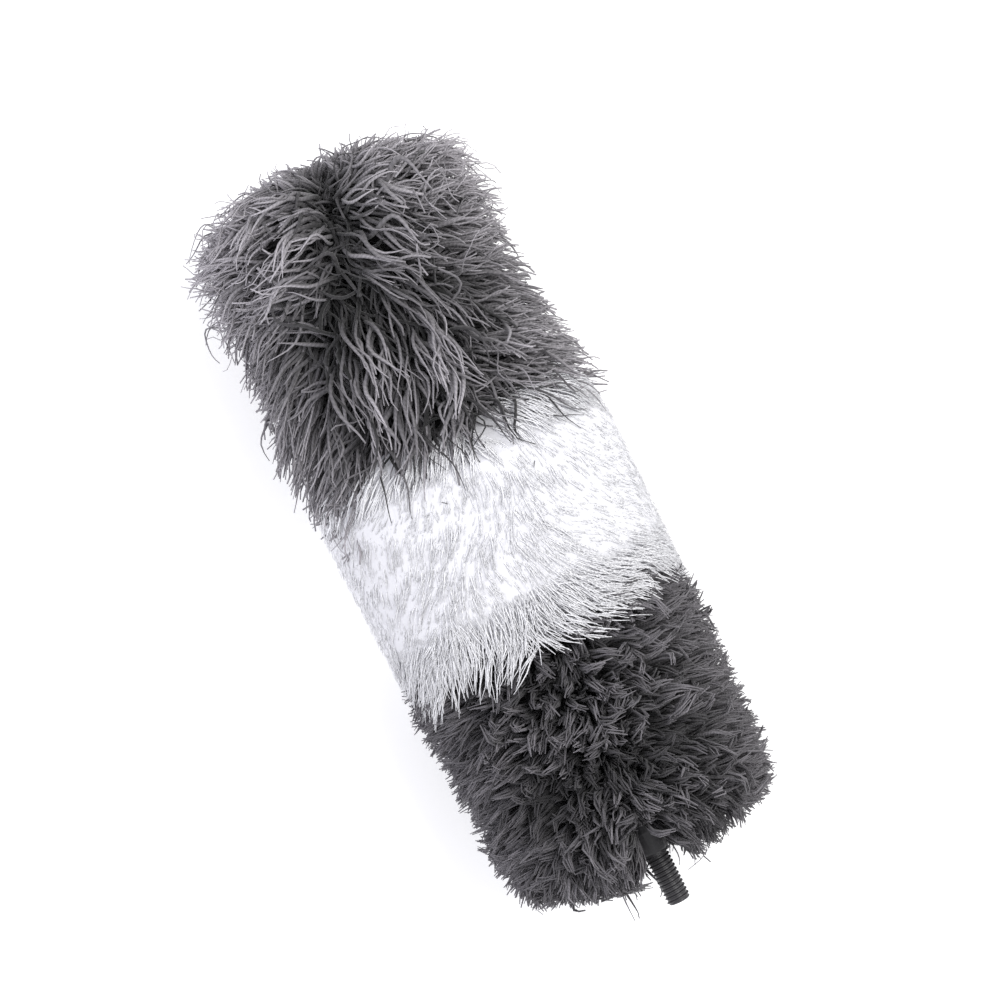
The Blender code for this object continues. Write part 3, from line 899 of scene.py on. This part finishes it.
def build_stage():
    world = bpy.data.worlds.new("studio")
    world.use_nodes = True
    world.node_tree.nodes["Background"].inputs["Color"].default_value = (0.97, 0.97, 1.0, 1.0)
    world.node_tree.nodes["Background"].inputs["Strength"].default_value = WORLD_STRENGTH
    bpy.context.scene.world = world
    add_lamp("key", 30.0, 58.0, 0.90, KEY_POWER, (1.0, 0.995, 0.985))
    add_lamp("fill", 190.0, 40.0, 1.00, FILL_POWER, (0.90, 0.90, 1.0))

    corners = [(x * FLOOR_REACH, y * FLOOR_REACH, 0.0) for x, y in ((-1, -1), (1, -1), (1, 1), (-1, 1))]
    mesh = bpy.data.meshes.new("floor")
    mesh.from_pydata(corners, [], [(0, 1, 2, 3)])
    material, nodes, links, shader = node_material("studio_sweep")
    shader.inputs["Base Color"].default_value = (0.90, 0.90, 0.90, 1.0)
    shader.inputs["Roughness"].default_value = 1.0
    shader.inputs["Specular IOR Level"].default_value = 0.0
    shader.inputs["Emission Color"].default_value = (1.0, 1.0, 1.0, 1.0)
    shader.inputs["Emission Strength"].default_value = FLOOR_GLOW
    mesh.materials.append(material)
    floor = put_in_scene("floor", mesh)
    floor.location.z = -0.0005


def add_camera():
    data = bpy.data.cameras.new("camera")
    data.lens = LENS_MM
    data.sensor_width = 36.0
    data.clip_start = 0.05
    data.clip_end = 20.0
    camera = put_in_scene("camera", data)
    camera.location = (*VIEW_CENTRE, AXIS_Z + VIEW_DISTANCE)
    camera.rotation_euler = (0.0, 0.0, -math.pi / 2 - VIEW_LEAN)
    bpy.context.scene.camera = camera
    bpy.context.scene.view_settings.view_transform = "Standard"
    bpy.context.scene.cycles.diffuse_bounces = 8


# ---------------------------------------------------------------- the duster head

build_stage()
add_camera()
dress_core()

# The darkest stops, near black, are painted shade for the deepest strands as well as their own darker tone.
DARK_SHADES = ((0.018, 0.017, 0.019), (0.070, 0.066, 0.072), (0.22, 0.208, 0.225))
WHITE_SHADES = ((0.78, 0.78, 0.80), (0.80, 0.80, 0.82), (0.82, 0.82, 0.84))
GREY_SHADES = ((0.008, 0.008, 0.008), (0.074, 0.070, 0.075), (0.45, 0.428, 0.456))
# The number after the shades is the painted shade at the root: the share of the colour that is left there.
dark_yarn = yarn_material("dark_grey_yarn", DARK_SHADES, 0.20, 0.24, 0.15)
white_yarn = yarn_material("white_yarn", WHITE_SHADES, 0.98, 0.03, 0.0)
grey_yarn = yarn_material("grey_yarn", GREY_SHADES, 0.06, 0.24, 0.15, 0.35, 0.95)

# Each growth with the runs that its tips lie between, and the stations that its roots do
lower_roots, middle_roots, upper_roots = (0.0, BAND_LOW), (BAND_LOW, BAND_HIGH), (BAND_HIGH, math.inf)
lower_yarn = grow(LOWER, (FUR_START, BAND_LOW + 0.008), lower_roots)
lower_yarn += grow_skirt(SKIRT, (0.027, 0.048), 0.0)
lower_yarn += grow_skirt(LOOSE_ENDS, (0.027, 0.040), 0.015)
middle_yarn = grow(WHITE, (0.085, BAND_HIGH), middle_roots, WHITE_EDGE)
upper_yarn = grow(UPPER, (0.185, CROWN_RUN), upper_roots)
upper_yarn += grow(LOOPS, (0.240, 0.350), upper_roots)
upper_yarn += grow(WISPS, (0.186, 0.218), upper_roots)
upper_yarn += grow(STRAYS, (0.300, CROWN_RUN), upper_roots)
dark = make_pieces("yarn_dark", lower_yarn, dark_yarn)
white = make_pieces("yarn_white", middle_yarn, white_yarn)
grey = make_pieces("yarn_grey", upper_yarn, grey_yarn)

# Painted shade: the bed under the dark and grey yarn is near black, darker than the yarn itself, as the shade
# deep in the fur.
deep_shade_bed = matter(
    "deep_shade_bed", (0.010, 0.010, 0.011), (0.028, 0.026, 0.029), 0.9, 0.0012, bump=0.8, depth=0.001
)
# Painted shade: the white bed is darker than the white yarn, as the shade under the strands.
shaded_white_bed = matter(
    "shaded_white_bed", (0.62, 0.62, 0.65), (0.65, 0.65, 0.67), 0.9, 0.0010,
    bump=0.3, depth=0.0008, stretch=(0.25, 1, 1),
)
bed("bed_dark_1", (0.026, BORDERS[0]), DARK_DEPTH, 0.03, 0, deep_shade_bed, closed_low=True)
bed("bed_dark_2", (BORDERS[0], BAND_LOW), DARK_DEPTH, 0.03, 1, deep_shade_bed)
bed("bed_white_2", (BAND_LOW, BORDERS[1]), WHITE_DEPTH, 0.0, 1, shaded_white_bed)
bed("bed_white_3", (BORDERS[1], BORDERS[2]), WHITE_DEPTH, 0.0, 2, shaded_white_bed)
bed("bed_white_4", (BORDERS[2], BAND_HIGH), WHITE_DEPTH, 0.0, 3, shaded_white_bed)
bed("bed_grey_4", (BAND_HIGH, BORDERS[3]), GREY_DEPTH, 0.03, 3, deep_shade_bed)
bed("bed_grey_5", (BORDERS[3], CROWN_ROOTS), GREY_DEPTH, 0.03, 4, deep_shade_bed)
crown_end = CROWN_RUN - 0.002
bed("bed_grey_6", (CROWN_ROOTS, crown_end), GREY_DEPTH, 0.03, 5, deep_shade_bed, closed_high=True)

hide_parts("pile_lower_end")
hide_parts("pile_lower")
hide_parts("pile_white_near")
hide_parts("pile_white_far")
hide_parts("pile_upper")
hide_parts("pile_upper_end")
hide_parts("pile_crown")
